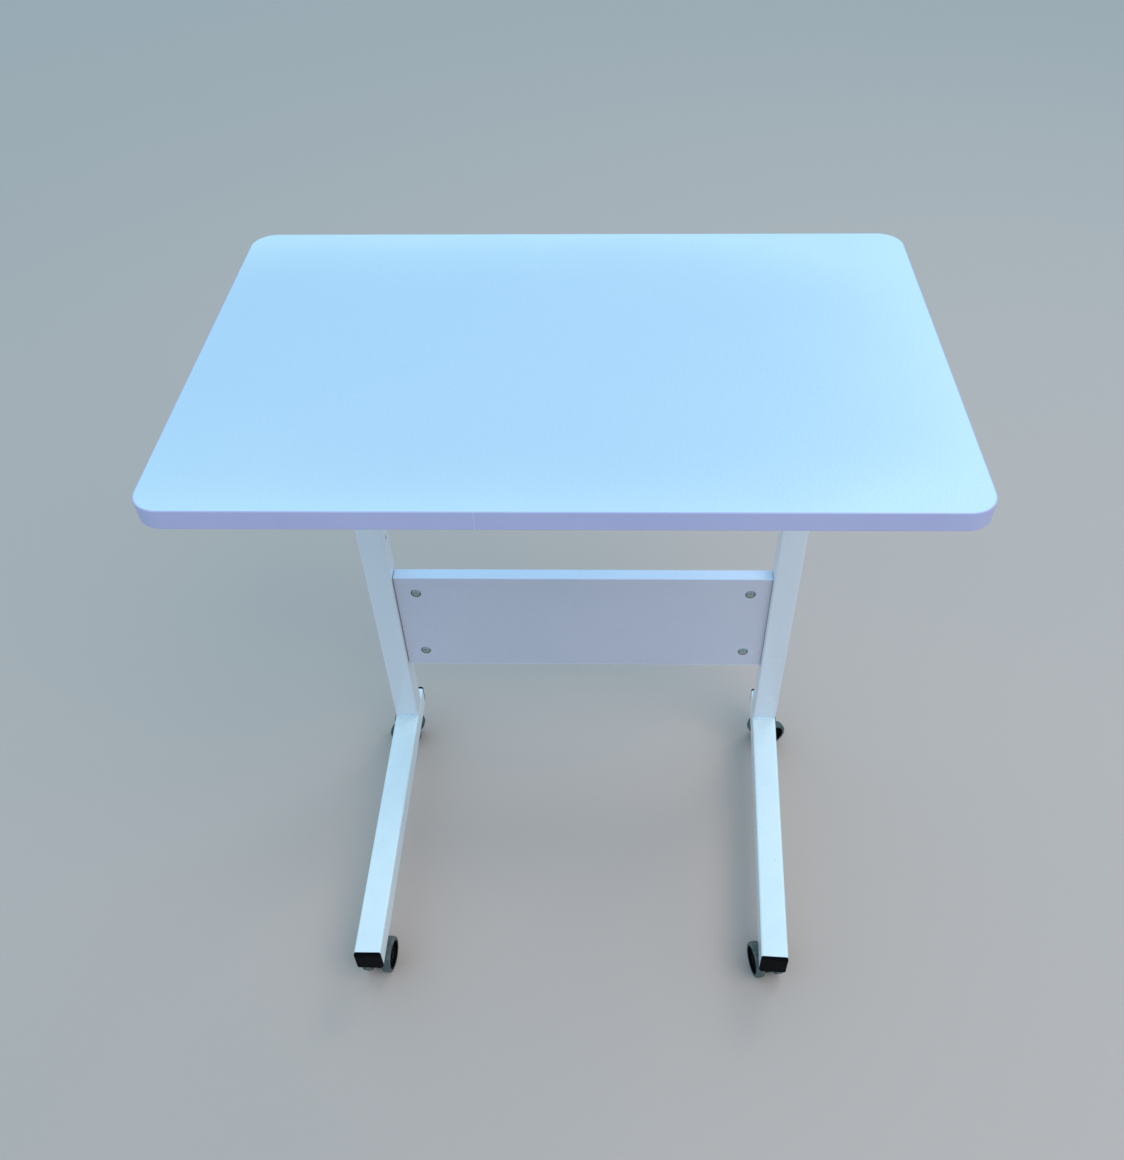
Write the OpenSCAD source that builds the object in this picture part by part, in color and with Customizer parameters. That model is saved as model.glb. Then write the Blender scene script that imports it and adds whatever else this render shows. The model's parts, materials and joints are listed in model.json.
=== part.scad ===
// Small desk on castors: a board top on two welded side frames, joined by a low back panel.
// Origin on the floor under the middle of the top, +X to the right, -Y to the front, +Z up.

/* [Tabletop] */
// Width of the top
top_w = 600; // [500:10:900]
// Depth of the top
top_d = 400; // [350:10:600]
// Thickness of the top
top_t = 16; // [15:1:25]
// Corner radius of the top
top_corner_r = 22; // [8:1:60]
// Height of the top's upper face above the floor
desk_h = 730; // [550:5:800]
// Thickness of the edge band
band_t = 1; // [0.4:0.1:2]
// Distance of the band's joint from the middle of the front edge, to the left
band_joint_x = 60; // [0:5:150]
// Width of the open joint in the band
band_joint_gap = 0.3; // [0.1:0.1:1]

/* [Side frames] */
// Side of the square tube
tube = 30; // [25:1:40]
// Wall of the tube
tube_wall = 1.5; // [1.2:0.1:2.5]
// Outer corner radius of the tube
tube_r = 2.5; // [2:0.5:6]
// Distance from the outer face of a post to the side edge of the top
frame_inset = 46; // [20:1:90]
// Distance from the rear face of a post to the rear edge of the top
post_setback = 23; // [10:1:80]
// How much shorter a foot is than the top's depth
foot_short = 10; // [0:2:20]
// Distance from the front end of an arm to the front edge of the top
arm_setback = 50; // [30:5:100]
// Size of the weld beads
weld_r = 3; // [1.5:0.5:4]
// Angle by which the right frame stands turned inwards on its panel fixings, in degrees
right_frame_turn = 3.2; // [0:0.1:4]

/* [End caps] */
// Thickness of the cap outside the tube
cap_t = 4; // [2:0.5:8]
// Length of the plug inside the tube
plug_l = 12; // [6:1:20]
// Gap between the plug and the tube's inner wall
plug_gap = 0.1; // [0.05:0.05:0.4]

/* [Back panel] */
// Height of the panel
panel_h = 150; // [100:5:400]
// Thickness of the panel
panel_t = 16; // [15:1:18]
// Height of the panel's lower edge above the floor
panel_floor = 180; // [120:5:300]
// Gap between each end of the panel and its post
panel_end_gap = 0.7; // [0.6:0.1:2]
// Diameter of a cam lock
cam_d = 12; // [12:1:15]
// Length of a cam lock
cam_l = 12.5; // [12:0.1:13]
// How far a cam lock sits below the panel's face
cam_recess = 0.5; // [0:0.1:1]
// Gap between a cam lock and its pocket
cam_gap = 0.15; // [0.1:0.05:0.3]
// Distance from the end of the panel to the middle of a cam lock
cam_inset = 24; // [20:1:34]
// Distance from the panel's long edges to the middle of a cam lock
cam_edge = 25; // [20:1:45]
// Diameter of the cam bolt's thread
bolt_d = 6; // [5:0.5:6]
// Diameter of the cam bolt's head
bolt_head_d = 6.6; // [6.2:0.1:7]
// Diameter of the bore for the bolt in the panel's end
bolt_bore_d = 8; // [7.5:0.5:9]
// Diameter of the empty hole in each post
spare_hole_d = 5; // [3:0.5:8]
// Height of the empty hole above the panel
spare_hole_rise = 57; // [30:1:120]

/* [Top screws] */
// Number of screws in each arm
screw_n = 3; // [2:1:4]
// Distance from the ends of the arm to the outer screws
screw_inset = 30; // [20:5:60]
// Diameter of the screw's shank
screw_d = 4; // [3.5:0.5:5]
// Length of the screw's shank
screw_l = 14; // [12:1:15]
// Diameter of the screw's head
screw_head_d = 8; // [7:0.5:9]
// Height of the screw's head
screw_head_h = 2.5; // [2:0.1:3]
// Diameter of the hole in the arm that lets the head and the driver through
access_d = 11; // [10:0.5:14]

/* [Castors] */
// Diameter of a wheel
wheel_d = 42; // [36:1:60]
// Gap between the wheels and the underside of the foot
castor_head = 10; // [8:1:20]
// Width of the castor over both wheels
castor_w = 34; // [32:1:44]
// Width of the body between the wheels
castor_body_w = 12; // [12:0.5:14]
// Gap between the body's round end and the floor
body_floor_gap = 4; // [3:0.5:8]
// Gap between the body and each wheel
wheel_gap = 0.5; // [0.4:0.1:1]
// Thickness of the tyre
tyre_t = 4; // [3:0.5:5]
// Radius of the tyre's shoulders
tyre_shoulder = 2; // [1:0.5:3]
// Depth of the recess in the hub's outer face
hub_recess = 3; // [1:0.5:5]
// Distance from the swivel axis to the axle
trail = 11; // [9:0.5:14]
// Gap between a cap's plug and the castor's nut in the foot
castor_nut_gap = 1.5; // [0.5:0.5:20]
// Diameter of the swivel pin
pin_d = 7; // [6:0.5:7]
// Diameter of the thread in the foot
stem_d = 8; // [6:1:8]
// Length of the thread in the foot
stem_l = 13; // [10:1:16]
// Diameter of the axle
axle_d = 5; // [4:0.5:6]
// Radial clearance of the pin and the axle
running_gap = 0.05; // [0.02:0.01:0.1]
// Radial clearance of screws and bolts in their threads
thread_gap = 0.05; // [0.02:0.01:0.1]
// Turn of the front left castor from trailing straight back, in degrees
front_left_swing = -5; // [-180:1:180]
// Turn of the front right castor
front_right_swing = 12; // [-180:1:180]
// Turn of the rear left castor
rear_left_swing = 84; // [-180:1:180]
// Turn of the rear right castor
rear_right_swing = -66; // [-180:1:180]

/* [Hidden] */
$fn = 64;
CORNERS = ["front_left", "front_right", "rear_left", "rear_right"];

steel_white = [0.93, 0.94, 0.95];
board_white = [0.96, 0.96, 0.97];
band_white = [0.90, 0.91, 0.95];
cap_black = [0.06, 0.06, 0.07];
tyre_grey = [0.42, 0.46, 0.45];
zinc = [0.72, 0.73, 0.74];

over = 0.1; // how far a cutter runs past the face it cuts

// Heights
top_under = desk_h - top_t;
foot_under = wheel_d + castor_head;
foot_top = foot_under + tube;
arm_under = top_under - tube;
post_h = arm_under - foot_top;

// Post and frame places, for the right-hand frame
post_x = top_w / 2 - frame_inset - tube / 2;
inner_x = post_x - tube / 2;
post_rear = top_d / 2 - post_setback;
post_y = post_rear - tube / 2;
post_front = post_rear - tube;
arm_front = -top_d / 2 + arm_setback;
arm_l = post_rear - arm_front;
foot_l = top_d - foot_short;

// Panel and its fixings
panel_l = 2 * (inner_x - panel_end_gap);
panel_front = post_y - panel_t / 2;
cam_x = panel_l / 2 - cam_inset;
cam_heights = [panel_floor + cam_edge, panel_floor + panel_h - cam_edge];
spare_hole_z = panel_floor + panel_h + spare_hole_rise;
cam_slot = [cam_d * 0.6, 1.2, 1.2];
nut_side = 12;
nut_t = 5;
bolt_tail = 1.5;
bolt_neck_d = bolt_d - 1;
bolt_head_l = 3;
bolt_hole_d = bolt_d + 1; // wide enough for a frame that stands turned

// Screws in each arm, along Y
screw_pitch = (arm_l - 2 * screw_inset) / (screw_n - 1);
screw_places = [for (i = [0 : screw_n - 1]) arm_front + screw_inset + i * screw_pitch];
screw_point = 3;

// Castors, each as [place along Y, side, turn]
nut_flange_t = 1;
nut_flange_d = stem_d + 6;
nut_body_d = stem_d + 3;
castor_y = foot_l / 2 - plug_l - castor_nut_gap - nut_body_d / 2;
CASTORS = [[-castor_y, -1, front_left_swing], [-castor_y, 1, front_right_swing],
           [castor_y, -1, rear_left_swing], [castor_y, 1, rear_right_swing]];
collar_t = 1.5;
collar_d = stem_d + 5;
body_top = foot_under - nut_flange_t - collar_t - 0.5;
axle_z = wheel_d / 2;
pin_foot = axle_z + axle_d / 2 + 4;
hub_r = wheel_d / 2 - tyre_t;
wheel_w = (castor_w - castor_body_w) / 2 - wheel_gap;
wheel_in = castor_body_w / 2 + wheel_gap;
hub_floor = 2.5;
hub_rim = 2;
hub_boss_r = axle_d / 2 + 2.5;

// --- shared shapes ---

// A rectangle with round corners, centred
module rounded_rect(w, d, r) {
    square([w - 2 * r, d], center = true);
    square([w, d - 2 * r], center = true);
    for (x = [-1, 1], y = [-1, 1])
        translate([x * (w / 2 - r), y * (d / 2 - r)]) circle(r);
}

// The outline of the tube's steel
module tube_outline() {
    difference() {
        rounded_rect(tube, tube, tube_r);
        rounded_rect(tube - 2 * tube_wall, tube - 2 * tube_wall, tube_r - tube_wall);
    }
}

// A length of tube that runs along Y from y0, with its underside at z0
module tube_along_y(y0, l, z0) {
    translate([post_x, y0 + l, z0 + tube / 2]) rotate([90, 0, 0])
        linear_extrude(l) tube_outline();
}

// What is modelled for the right frame, put on the left (-1) or the right (1)
module on_frame(side) {
    if (side < 0) mirror([1, 0, 0]) children();
    else translate([inner_x, post_y, 0]) rotate(-right_frame_turn)
        translate([-inner_x, -post_y, 0]) children();
}

// What is modelled at the right end of the panel, put at either end
module on_panel_end(side) {
    if (side < 0) mirror([1, 0, 0]) children();
    else children();
}

// A cylinder along X, from x0 towards +X
module rod_x(x0, l, d) {
    translate([x0, 0, 0]) rotate([0, 90, 0]) cylinder(h = l, d = d);
}

// --- top ---

module top_outline(inset) {
    rounded_rect(top_w - 2 * inset, top_d - 2 * inset, top_corner_r - inset);
}

module top_board() {
    color(board_white) difference() {
        translate([0, 0, top_under]) linear_extrude(top_t) top_outline(band_t);
        for (side = [-1, 1], y = screw_places)
            on_frame(side) translate([post_x, y, top_under - over])
                cylinder(h = screw_l - tube_wall + over + 0.5, d = screw_d + 2 * thread_gap);
    }
}

module edge_band() {
    color(band_white) difference() {
        translate([0, 0, top_under]) linear_extrude(top_t) difference() {
            top_outline(0);
            top_outline(band_t);
        }
        translate([-band_joint_x, -top_d / 2, top_under + top_t / 2])
            cube([band_joint_gap, 3 * band_t, top_t + 2 * over], center = true);
    }
}

// --- side frames, modelled on the right ---

module post() {
    difference() {
        translate([post_x, post_y, foot_top]) linear_extrude(post_h) tube_outline();
        for (z = cam_heights)
            translate([0, post_y, z]) rod_x(inner_x - over, tube_wall + 2 * over, bolt_hole_d);
        translate([0, post_y, spare_hole_z]) rod_x(inner_x - over, tube_wall + 2 * over, spare_hole_d);
    }
}

module foot() {
    difference() {
        tube_along_y(-foot_l / 2, foot_l, foot_under);
        for (y = [-castor_y, castor_y])
            translate([post_x, y, foot_under - over])
                cylinder(h = tube_wall + 2 * over, d = nut_body_d + 2 * thread_gap);
    }
}

module arm() {
    difference() {
        tube_along_y(arm_front, arm_l, arm_under);
        for (y = screw_places) translate([post_x, y, 0]) {
            translate([0, 0, arm_under - over]) cylinder(h = tube_wall + 2 * over, d = access_d);
            translate([0, 0, top_under - tube_wall - over])
                cylinder(h = tube_wall + 2 * over, d = screw_d + 2 * thread_gap);
        }
    }
}

// A bead across the tube: a quarter round whose square corner lies in the joint
module weld_bead() {
    translate([post_x, 0, 0]) rotate([90, 0, 90])
        linear_extrude(tube - 2 * tube_r, center = true)
            intersection() {
                circle(weld_r);
                square(weld_r);
            }
}

module welds() {
    translate([0, post_rear, foot_top]) weld_bead();
    translate([0, post_front, foot_top]) mirror([0, 1, 0]) weld_bead();
    translate([0, post_front, arm_under]) mirror([0, 0, 1]) mirror([0, 1, 0]) weld_bead();
}

// A cap with its plate against the tube's end at the origin, the plug towards +Y
module end_cap() {
    bore = tube - 2 * tube_wall - 2 * plug_gap;
    rotate([90, 0, 0]) linear_extrude(cap_t) rounded_rect(tube, tube, tube_r);
    translate([0, plug_l, 0]) rotate([90, 0, 0]) linear_extrude(plug_l)
        rounded_rect(bore, bore, tube_r - tube_wall - plug_gap);
}

module caps_on(y_front, y_rear, z0) {
    for (side = [-1, 1]) on_frame(side) translate([post_x, 0, z0 + tube / 2]) {
        translate([0, y_front, 0]) end_cap();
        translate([0, y_rear, 0]) mirror([0, 1, 0]) end_cap();
    }
}

module foot_caps() {
    color(cap_black) caps_on(-foot_l / 2, foot_l / 2, foot_under);
}

module arm_caps() {
    color(cap_black) caps_on(arm_front, post_rear, arm_under);
}

module top_screws() {
    head_z = top_under - tube_wall - screw_head_h;
    color(zinc) for (side = [-1, 1], y = screw_places)
        on_frame(side) translate([post_x, y, head_z]) {
            cylinder(h = screw_head_h, d = screw_head_d);
            translate([0, 0, screw_head_h]) cylinder(h = screw_l - screw_point, d = screw_d);
            translate([0, 0, screw_head_h + screw_l - screw_point])
                cylinder(h = screw_point, d1 = screw_d, d2 = 0.6);
        }
}

// --- back panel and its fixings ---

module back_panel() {
    color(board_white) difference() {
        translate([0, post_y, panel_floor + panel_h / 2])
            cube([panel_l, panel_t, panel_h - 2 * band_t], center = true);
        for (side = [-1, 1], z = cam_heights) on_panel_end(side) {
            translate([cam_x, panel_front - over, z]) rotate([-90, 0, 0])
                cylinder(h = cam_recess + cam_l + 2 * cam_gap + over, d = cam_d + 2 * cam_gap);
            translate([0, post_y, z]) rod_x(cam_x, cam_inset + over, bolt_bore_d);
        }
    }
}

module panel_bands() {
    color(band_white) for (z = [panel_floor, panel_floor + panel_h - band_t])
        translate([-panel_l / 2, panel_front, z]) cube([panel_l, panel_t, band_t]);
}

// A cam lock: a drum with a cross slot in its face and a channel for the bolt's head
module cam_locks() {
    color(zinc) for (side = [-1, 1], z = cam_heights)
        on_panel_end(side) translate([cam_x, panel_front + cam_recess, z]) difference() {
            rotate([-90, 0, 0]) cylinder(h = cam_l, d = cam_d);
            for (a = [0, 90]) rotate([0, a, 0])
                cube([cam_slot[0], 2 * cam_slot[1], cam_slot[2]], center = true);
            translate([0, panel_t / 2 - cam_recess, 0])
                rod_x(-bolt_head_l / 2 - 1, cam_d, bolt_head_d + 0.6);
        }
}

module cam_bolts() {
    tip = cam_x + bolt_head_l / 2;
    tail = inner_x + tube_wall + nut_t + bolt_tail;
    color(zinc) for (side = [-1, 1], z = cam_heights)
        on_panel_end(side) translate([0, post_y, z]) {
            rod_x(cam_x - bolt_head_l / 2, bolt_head_l, bolt_head_d);
            rod_x(tip, inner_x - tip, bolt_neck_d);
            rod_x(inner_x, tail - inner_x, bolt_d);
        }
}

module bolt_nuts() {
    color(zinc) for (side = [-1, 1], z = cam_heights)
        on_frame(side) translate([inner_x + tube_wall, post_y, z]) difference() {
            translate([0, -nut_side / 2, -nut_side / 2]) cube([nut_t, nut_side, nut_side]);
            rod_x(-over, nut_t + 2 * over, bolt_hole_d);
        }
}

// --- castors ---

// Puts what is modelled round a swivel axis at one corner of the desk, not yet turned
module at_swivel(i) {
    side = CASTORS[i][1];
    y = CASTORS[i][0];
    turn = side < 0 ? 0 : -right_frame_turn;
    dx = post_x - inner_x;
    dy = y - post_y;
    x_turned = inner_x + dx * cos(turn) - dy * sin(turn);
    y_turned = post_y + dx * sin(turn) + dy * cos(turn);
    translate([side * x_turned, y_turned, 0]) children();
}

// The same, turned to the castor's resting angle, with the axle on +Y
module at_castor(i) {
    at_swivel(i) rotate(CASTORS[i][2]) children();
}

module castor_nuts() {
    color(zinc) for (i = [0:3]) at_swivel(i) difference() {
        union() {
            translate([0, 0, foot_under - nut_flange_t]) cylinder(h = nut_flange_t, d = nut_flange_d);
            translate([0, 0, foot_under]) cylinder(h = stem_l, d = nut_body_d);
        }
        translate([0, 0, foot_under - nut_flange_t - over])
            cylinder(h = stem_l + nut_flange_t + 2 * over, d = stem_d + 2 * thread_gap);
    }
}

module castor_stems() {
    collar_z = foot_under - nut_flange_t - collar_t;
    color(zinc) for (i = [0:3]) at_swivel(i) {
        translate([0, 0, pin_foot]) cylinder(h = collar_z - pin_foot, d = pin_d);
        translate([0, 0, collar_z]) cylinder(h = collar_t, d = collar_d);
        translate([0, 0, collar_z + collar_t]) cylinder(h = nut_flange_t + stem_l - 1, d = stem_d);
    }
}

// The body between the wheels: a disc round the axle and an upright socket for the pin
module castor_body(i) {
    socket_r = castor_body_w / 2;
    disc_r = wheel_d / 2 - body_floor_gap;
    color(cap_black) at_castor(i) difference() {
        rotate([90, 0, 90]) linear_extrude(castor_body_w, center = true) {
            translate([trail, axle_z]) circle(disc_r);
            translate([-socket_r, axle_z]) square([2 * socket_r, body_top - axle_z]);
            polygon([[0, axle_z], [trail, axle_z], [trail + socket_r, axle_z + disc_r * 0.8],
                     [socket_r, body_top], [0, body_top]]);
        }
        translate([0, 0, pin_foot - 1])
            cylinder(h = body_top - pin_foot + 1 + over, d = pin_d + 2 * running_gap);
        translate([0, trail, axle_z])
            rod_x(-castor_body_w, 2 * castor_body_w, axle_d + 2 * running_gap);
    }
}

module castor_axle(i) {
    half = wheel_in + wheel_w - hub_recess - hub_floor - running_gap;
    color(zinc) at_castor(i) translate([0, trail, axle_z]) rod_x(-half, 2 * half, axle_d);
}

// Wheel 1 is on the castor's -X side, wheel 2 on its +X side
module at_wheel(i, w) {
    at_castor(i) translate([0, trail, axle_z]) mirror([w == 1 ? 1 : 0, 0, 0]) children();
}

// A hub with a blind bore, and a recess in its outer face that leaves a rim and a boss
module wheel_hub(i, w) {
    bore_l = wheel_w - hub_recess - hub_floor;
    color(cap_black) at_wheel(i, w) difference() {
        rod_x(wheel_in, wheel_w, 2 * hub_r);
        rod_x(wheel_in - over, bore_l + over, axle_d + 2 * running_gap);
        difference() {
            rod_x(wheel_in + wheel_w - hub_recess, hub_recess + over, 2 * (hub_r - hub_rim));
            rod_x(wheel_in, wheel_w - hub_recess / 2, 2 * hub_boss_r);
        }
    }
}

module wheel_tyre(i, w) {
    r = wheel_d / 2;
    s = tyre_shoulder;
    color(tyre_grey) at_wheel(i, w) translate([wheel_in, 0, 0]) rotate([0, 90, 0])
        rotate_extrude() {
            translate([hub_r, 0]) square([tyre_t - s, wheel_w]);
            translate([r - s, s]) square([s, wheel_w - 2 * s]);
            for (z = [s, wheel_w - s]) translate([r - s, z]) circle(s, $fn = 32);
        }
}

// --- what is drawn ---

top_board();
edge_band();
color(steel_white) on_frame(-1) post();  // left_post
color(steel_white) on_frame(1) post();  // right_post
color(steel_white) on_frame(-1) foot();  // left_foot
color(steel_white) on_frame(1) foot();  // right_foot
color(steel_white) on_frame(-1) arm();  // left_arm
color(steel_white) on_frame(1) arm();  // right_arm
color(steel_white) on_frame(-1) welds();  // left_welds
color(steel_white) on_frame(1) welds();  // right_welds
foot_caps();
arm_caps();
back_panel();
panel_bands();
cam_locks();
cam_bolts();
bolt_nuts();
top_screws();
castor_nuts();
castor_stems();
for (i = [0:3]) {
    castor_body(i);
    castor_axle(i);
    for (w = [1, 2]) {
        wheel_hub(i, w);
        wheel_tyre(i, w);
    }
}
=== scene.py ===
import bmesh, bpy, json, math
import numpy as np
from mathutils import Matrix, Vector


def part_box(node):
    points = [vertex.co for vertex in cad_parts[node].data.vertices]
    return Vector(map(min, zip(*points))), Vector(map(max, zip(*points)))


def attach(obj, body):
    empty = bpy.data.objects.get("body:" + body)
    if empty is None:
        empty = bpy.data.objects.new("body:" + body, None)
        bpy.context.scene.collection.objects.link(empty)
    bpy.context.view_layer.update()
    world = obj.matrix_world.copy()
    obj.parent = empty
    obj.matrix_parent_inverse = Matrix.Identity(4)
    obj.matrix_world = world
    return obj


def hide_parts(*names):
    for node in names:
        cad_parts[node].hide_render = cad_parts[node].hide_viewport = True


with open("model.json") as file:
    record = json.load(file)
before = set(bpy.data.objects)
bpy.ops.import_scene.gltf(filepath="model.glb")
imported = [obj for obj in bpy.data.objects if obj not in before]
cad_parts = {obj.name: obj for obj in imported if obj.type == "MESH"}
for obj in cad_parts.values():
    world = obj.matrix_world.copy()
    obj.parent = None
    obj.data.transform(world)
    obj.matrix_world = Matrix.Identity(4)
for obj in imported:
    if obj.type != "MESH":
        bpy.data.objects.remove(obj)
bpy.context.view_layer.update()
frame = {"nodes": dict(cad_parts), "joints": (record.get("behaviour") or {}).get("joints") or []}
scene = bpy.context.scene
mm = 0.001
sharpFrom = math.radians(38)  # edges that turn more than this stay crisp
print("frame loaded:", len(frame["nodes"]), "nodes")


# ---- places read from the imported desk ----

def boxOf(node):  # lowest and highest corner as arrays
    low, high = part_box(node)
    return np.array(low), np.array(high)


jointAt = {j["name"]: np.array(j["pos_m"], float) for j in frame["joints"]}
jointAxis = {j["name"]: np.array(j["axis"], float) for j in frame["joints"]}
corners = ["front_left", "front_right", "rear_left", "rear_right"]


# ---- making meshes from arrays ----

def finishMesh(name, points, faces, flip=False):
    # points (n, 3) and a list of index arrays (m, k) become a smooth object
    points = np.ascontiguousarray(points, np.float64).reshape(-1, 3)
    faces = [np.asarray(f) for f in faces if len(f)]
    if flip:
        faces = [f[:, ::-1] for f in faces]
    loops = np.concatenate([f.ravel() for f in faces])
    sizes = np.concatenate([np.full(len(f), f.shape[1]) for f in faces])
    mesh = bpy.data.meshes.new(name)
    mesh.vertices.add(len(points))
    mesh.loops.add(len(loops))
    mesh.polygons.add(len(sizes))
    mesh.vertices.foreach_set("co", points.ravel())
    mesh.loops.foreach_set("vertex_index", loops.astype(np.int32))
    mesh.polygons.foreach_set("loop_start", np.concatenate([[0], np.cumsum(sizes)[:-1]]).astype(np.int32))
    mesh.polygons.foreach_set("loop_total", sizes.astype(np.int32))
    mesh.update(calc_edges=True)
    mesh.validate()
    mesh.polygons.foreach_set("use_smooth", np.ones(len(mesh.polygons), bool))
    mesh.set_sharp_from_angle(angle=sharpFrom)
    made = bpy.data.objects.new(name, mesh)
    scene.collection.objects.link(made)
    return made


def gridFaces(rows, columns, start=0, wrapRows=False, wrapColumns=False):
    # quads of a grid whose points run row by row
    r = np.arange(rows if wrapRows else rows - 1)
    c = np.arange(columns if wrapColumns else columns - 1)
    r, c = [g.ravel() for g in np.meshgrid(r, c, indexing="ij")]
    r2, c2 = (r + 1) % rows, (c + 1) % columns
    return start + np.stack([r * columns + c, r * columns + c2, r2 * columns + c2, r2 * columns + c], 1)


def stackedRings(rings, closeEnds=True, wrapRows=False):  # rings (m, n, 3), each closed, become one skin
    m, n = rings.shape[:2]
    faces = [gridFaces(m, n, 0, wrapRows, True)]
    if closeEnds and not wrapRows:
        faces += [np.arange(n)[::-1][None], (np.arange(n) + (m - 1) * n)[None]]
    return rings.reshape(-1, 3), faces


def joined(parts):  # several (points, faces) in one
    points, faces, start = [], [], 0
    for p, fs in parts:
        p = np.asarray(p).reshape(-1, 3)
        points.append(p)
        faces += [np.asarray(f) + start for f in fs]
        start += len(p)
    return np.concatenate(points), faces


def roundCorners(width, depth, radius, steps):
    # closed outline of a rectangle with round corners, and its outward directions
    angle = (np.arange(4)[:, None] * 90 + np.linspace(0, 90, steps)[None]) * math.pi / 180
    out = np.stack([np.cos(angle), np.sin(angle)], -1)
    centre = np.array([[1, 1], [-1, 1], [-1, -1], [1, -1]]) * [width / 2 - radius, depth / 2 - radius]
    return (centre[:, None] + radius * out).reshape(-1, 2), out.reshape(-1, 2)


def arcSteps(first, last, steps):  # angles of an arc, in radians, from degrees
    return np.radians(np.linspace(first, last, steps))


def spun(profile, steps=64):
    # profile (m, 2) of radius and height, turned round the height axis, as rings (m, steps, 3)
    turn = np.arange(steps) / steps * 2 * math.pi
    r, h = profile[:, :1], profile[:, 1:]
    return np.stack([r * np.cos(turn), r * np.sin(turn), h + 0 * turn], -1)


def rounding(places, radius, steps=4):
    # a polyline (m, 2) whose inner corners become curves (1 - t)^2 a + 2 t (1 - t) corner + t^2 b
    places = np.asarray(places, float)
    out = [places[0]]
    for before, here, after in zip(places[:-2], places[1:-1], places[2:]):
        toBefore, toAfter = before - here, after - here
        reach = min(radius, np.linalg.norm(toBefore) * 0.45, np.linalg.norm(toAfter) * 0.45)
        a = here + toBefore / np.linalg.norm(toBefore) * reach
        b = here + toAfter / np.linalg.norm(toAfter) * reach
        t = np.linspace(0, 1, steps + 1)[:, None]
        out += list((1 - t) ** 2 * a + 2 * t * (1 - t) * here + t ** 2 * b)
    return np.array(out + [places[-1]])


def sealed(made, close=False):
    # parts laid edge to edge become one skin; with close its openings are filled and its faces turned outwards
    bm = bmesh.new()
    bm.from_mesh(made.data)
    bmesh.ops.remove_doubles(bm, verts=bm.verts, dist=1e-6)
    bmesh.ops.delete(bm, geom=[e for e in bm.edges if not e.link_faces], context="EDGES")
    if close:
        bmesh.ops.holes_fill(bm, edges=bm.edges, sides=0)
        bmesh.ops.recalc_face_normals(bm, faces=bm.faces)
    bm.to_mesh(made.data)
    bm.free()
    made.data.set_sharp_from_angle(angle=sharpFrom)
    return made


def weighted(made):  # large flats keep their own shading, so only the rounded edges turn
    made.modifiers.new("flats", "WEIGHTED_NORMAL").keep_sharp = True
    return made


# ---- finishes: each is a node material that reads Object coordinates ----

class Finish:
    # one material, and short ways to add nodes to it
    def __init__(self, name, **shader):
        self.made = bpy.data.materials.new(name)
        self.made.use_nodes = True
        self.tree = self.made.node_tree
        self.shader = self.tree.nodes["Principled BSDF"]
        for socket, value in shader.items():
            self.shader.inputs[socket.replace("_", " ")].default_value = value
        self.place = self.node("ShaderNodeTexCoord").outputs["Object"]

    def node(self, kind, inputs=None, **settings):
        n = self.tree.nodes.new(kind)
        for key, value in settings.items():
            setattr(n, key, value)
        for key, value in (inputs or {}).items():
            if isinstance(value, bpy.types.NodeSocket):
                self.tree.links.new(value, n.inputs[key])
            else:
                n.inputs[key].default_value = value
        return n

    def noise(self, perMetre, detail=3.0, roughness=0.55):
        return self.node("ShaderNodeTexNoise", {"Vector": self.place, "Scale": perMetre, "Detail": detail,
                                                "Roughness": roughness}).outputs["Fac"]

    def cells(self, perMetre, smooth=0.6):
        return self.node("ShaderNodeTexVoronoi", {"Vector": self.place, "Scale": perMetre, "Smoothness": smooth},
                         feature="SMOOTH_F1").outputs["Distance"]

    def ramp(self, value, low, high, toLow=0.0, toHigh=1.0, kind="LINEAR"):
        return self.node("ShaderNodeMapRange", {"Value": value, "From Min": low, "From Max": high, "To Min": toLow,
                                                "To Max": toHigh}, interpolation_type=kind).outputs[0]

    def maths(self, operation, a, b=0.0):
        return self.node("ShaderNodeMath", {0: a, 1: b}, operation=operation).outputs[0]

    def mix(self, factor, a, b):
        n = self.node("ShaderNodeMix", data_type="RGBA")
        for key, value in ((0, factor), (6, a), (7, b)):
            if isinstance(value, bpy.types.NodeSocket):
                self.tree.links.new(value, n.inputs[key])
            else:
                n.inputs[key].default_value = value if key == 0 else (*value[:3], 1)
        return n.outputs[2]

    def axis(self, name):
        return self.node("ShaderNodeSeparateXYZ", {0: self.place}).outputs[name]

    def colour(self, socket):
        self.tree.links.new(socket, self.shader.inputs["Base Color"])

    def rough(self, socket):
        self.tree.links.new(socket, self.shader.inputs["Roughness"])

    def bumps(self, *layers):  # each layer is (height socket, depth in metres), from the coarsest to the finest
        normal = None
        for height, depth in layers:
            inputs = {"Height": height, "Strength": 1.0, "Distance": depth}
            if normal is not None:
                inputs["Normal"] = normal
            normal = self.node("ShaderNodeBump", inputs).outputs[0]
        self.tree.links.new(normal, self.shader.inputs["Normal"])


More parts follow.
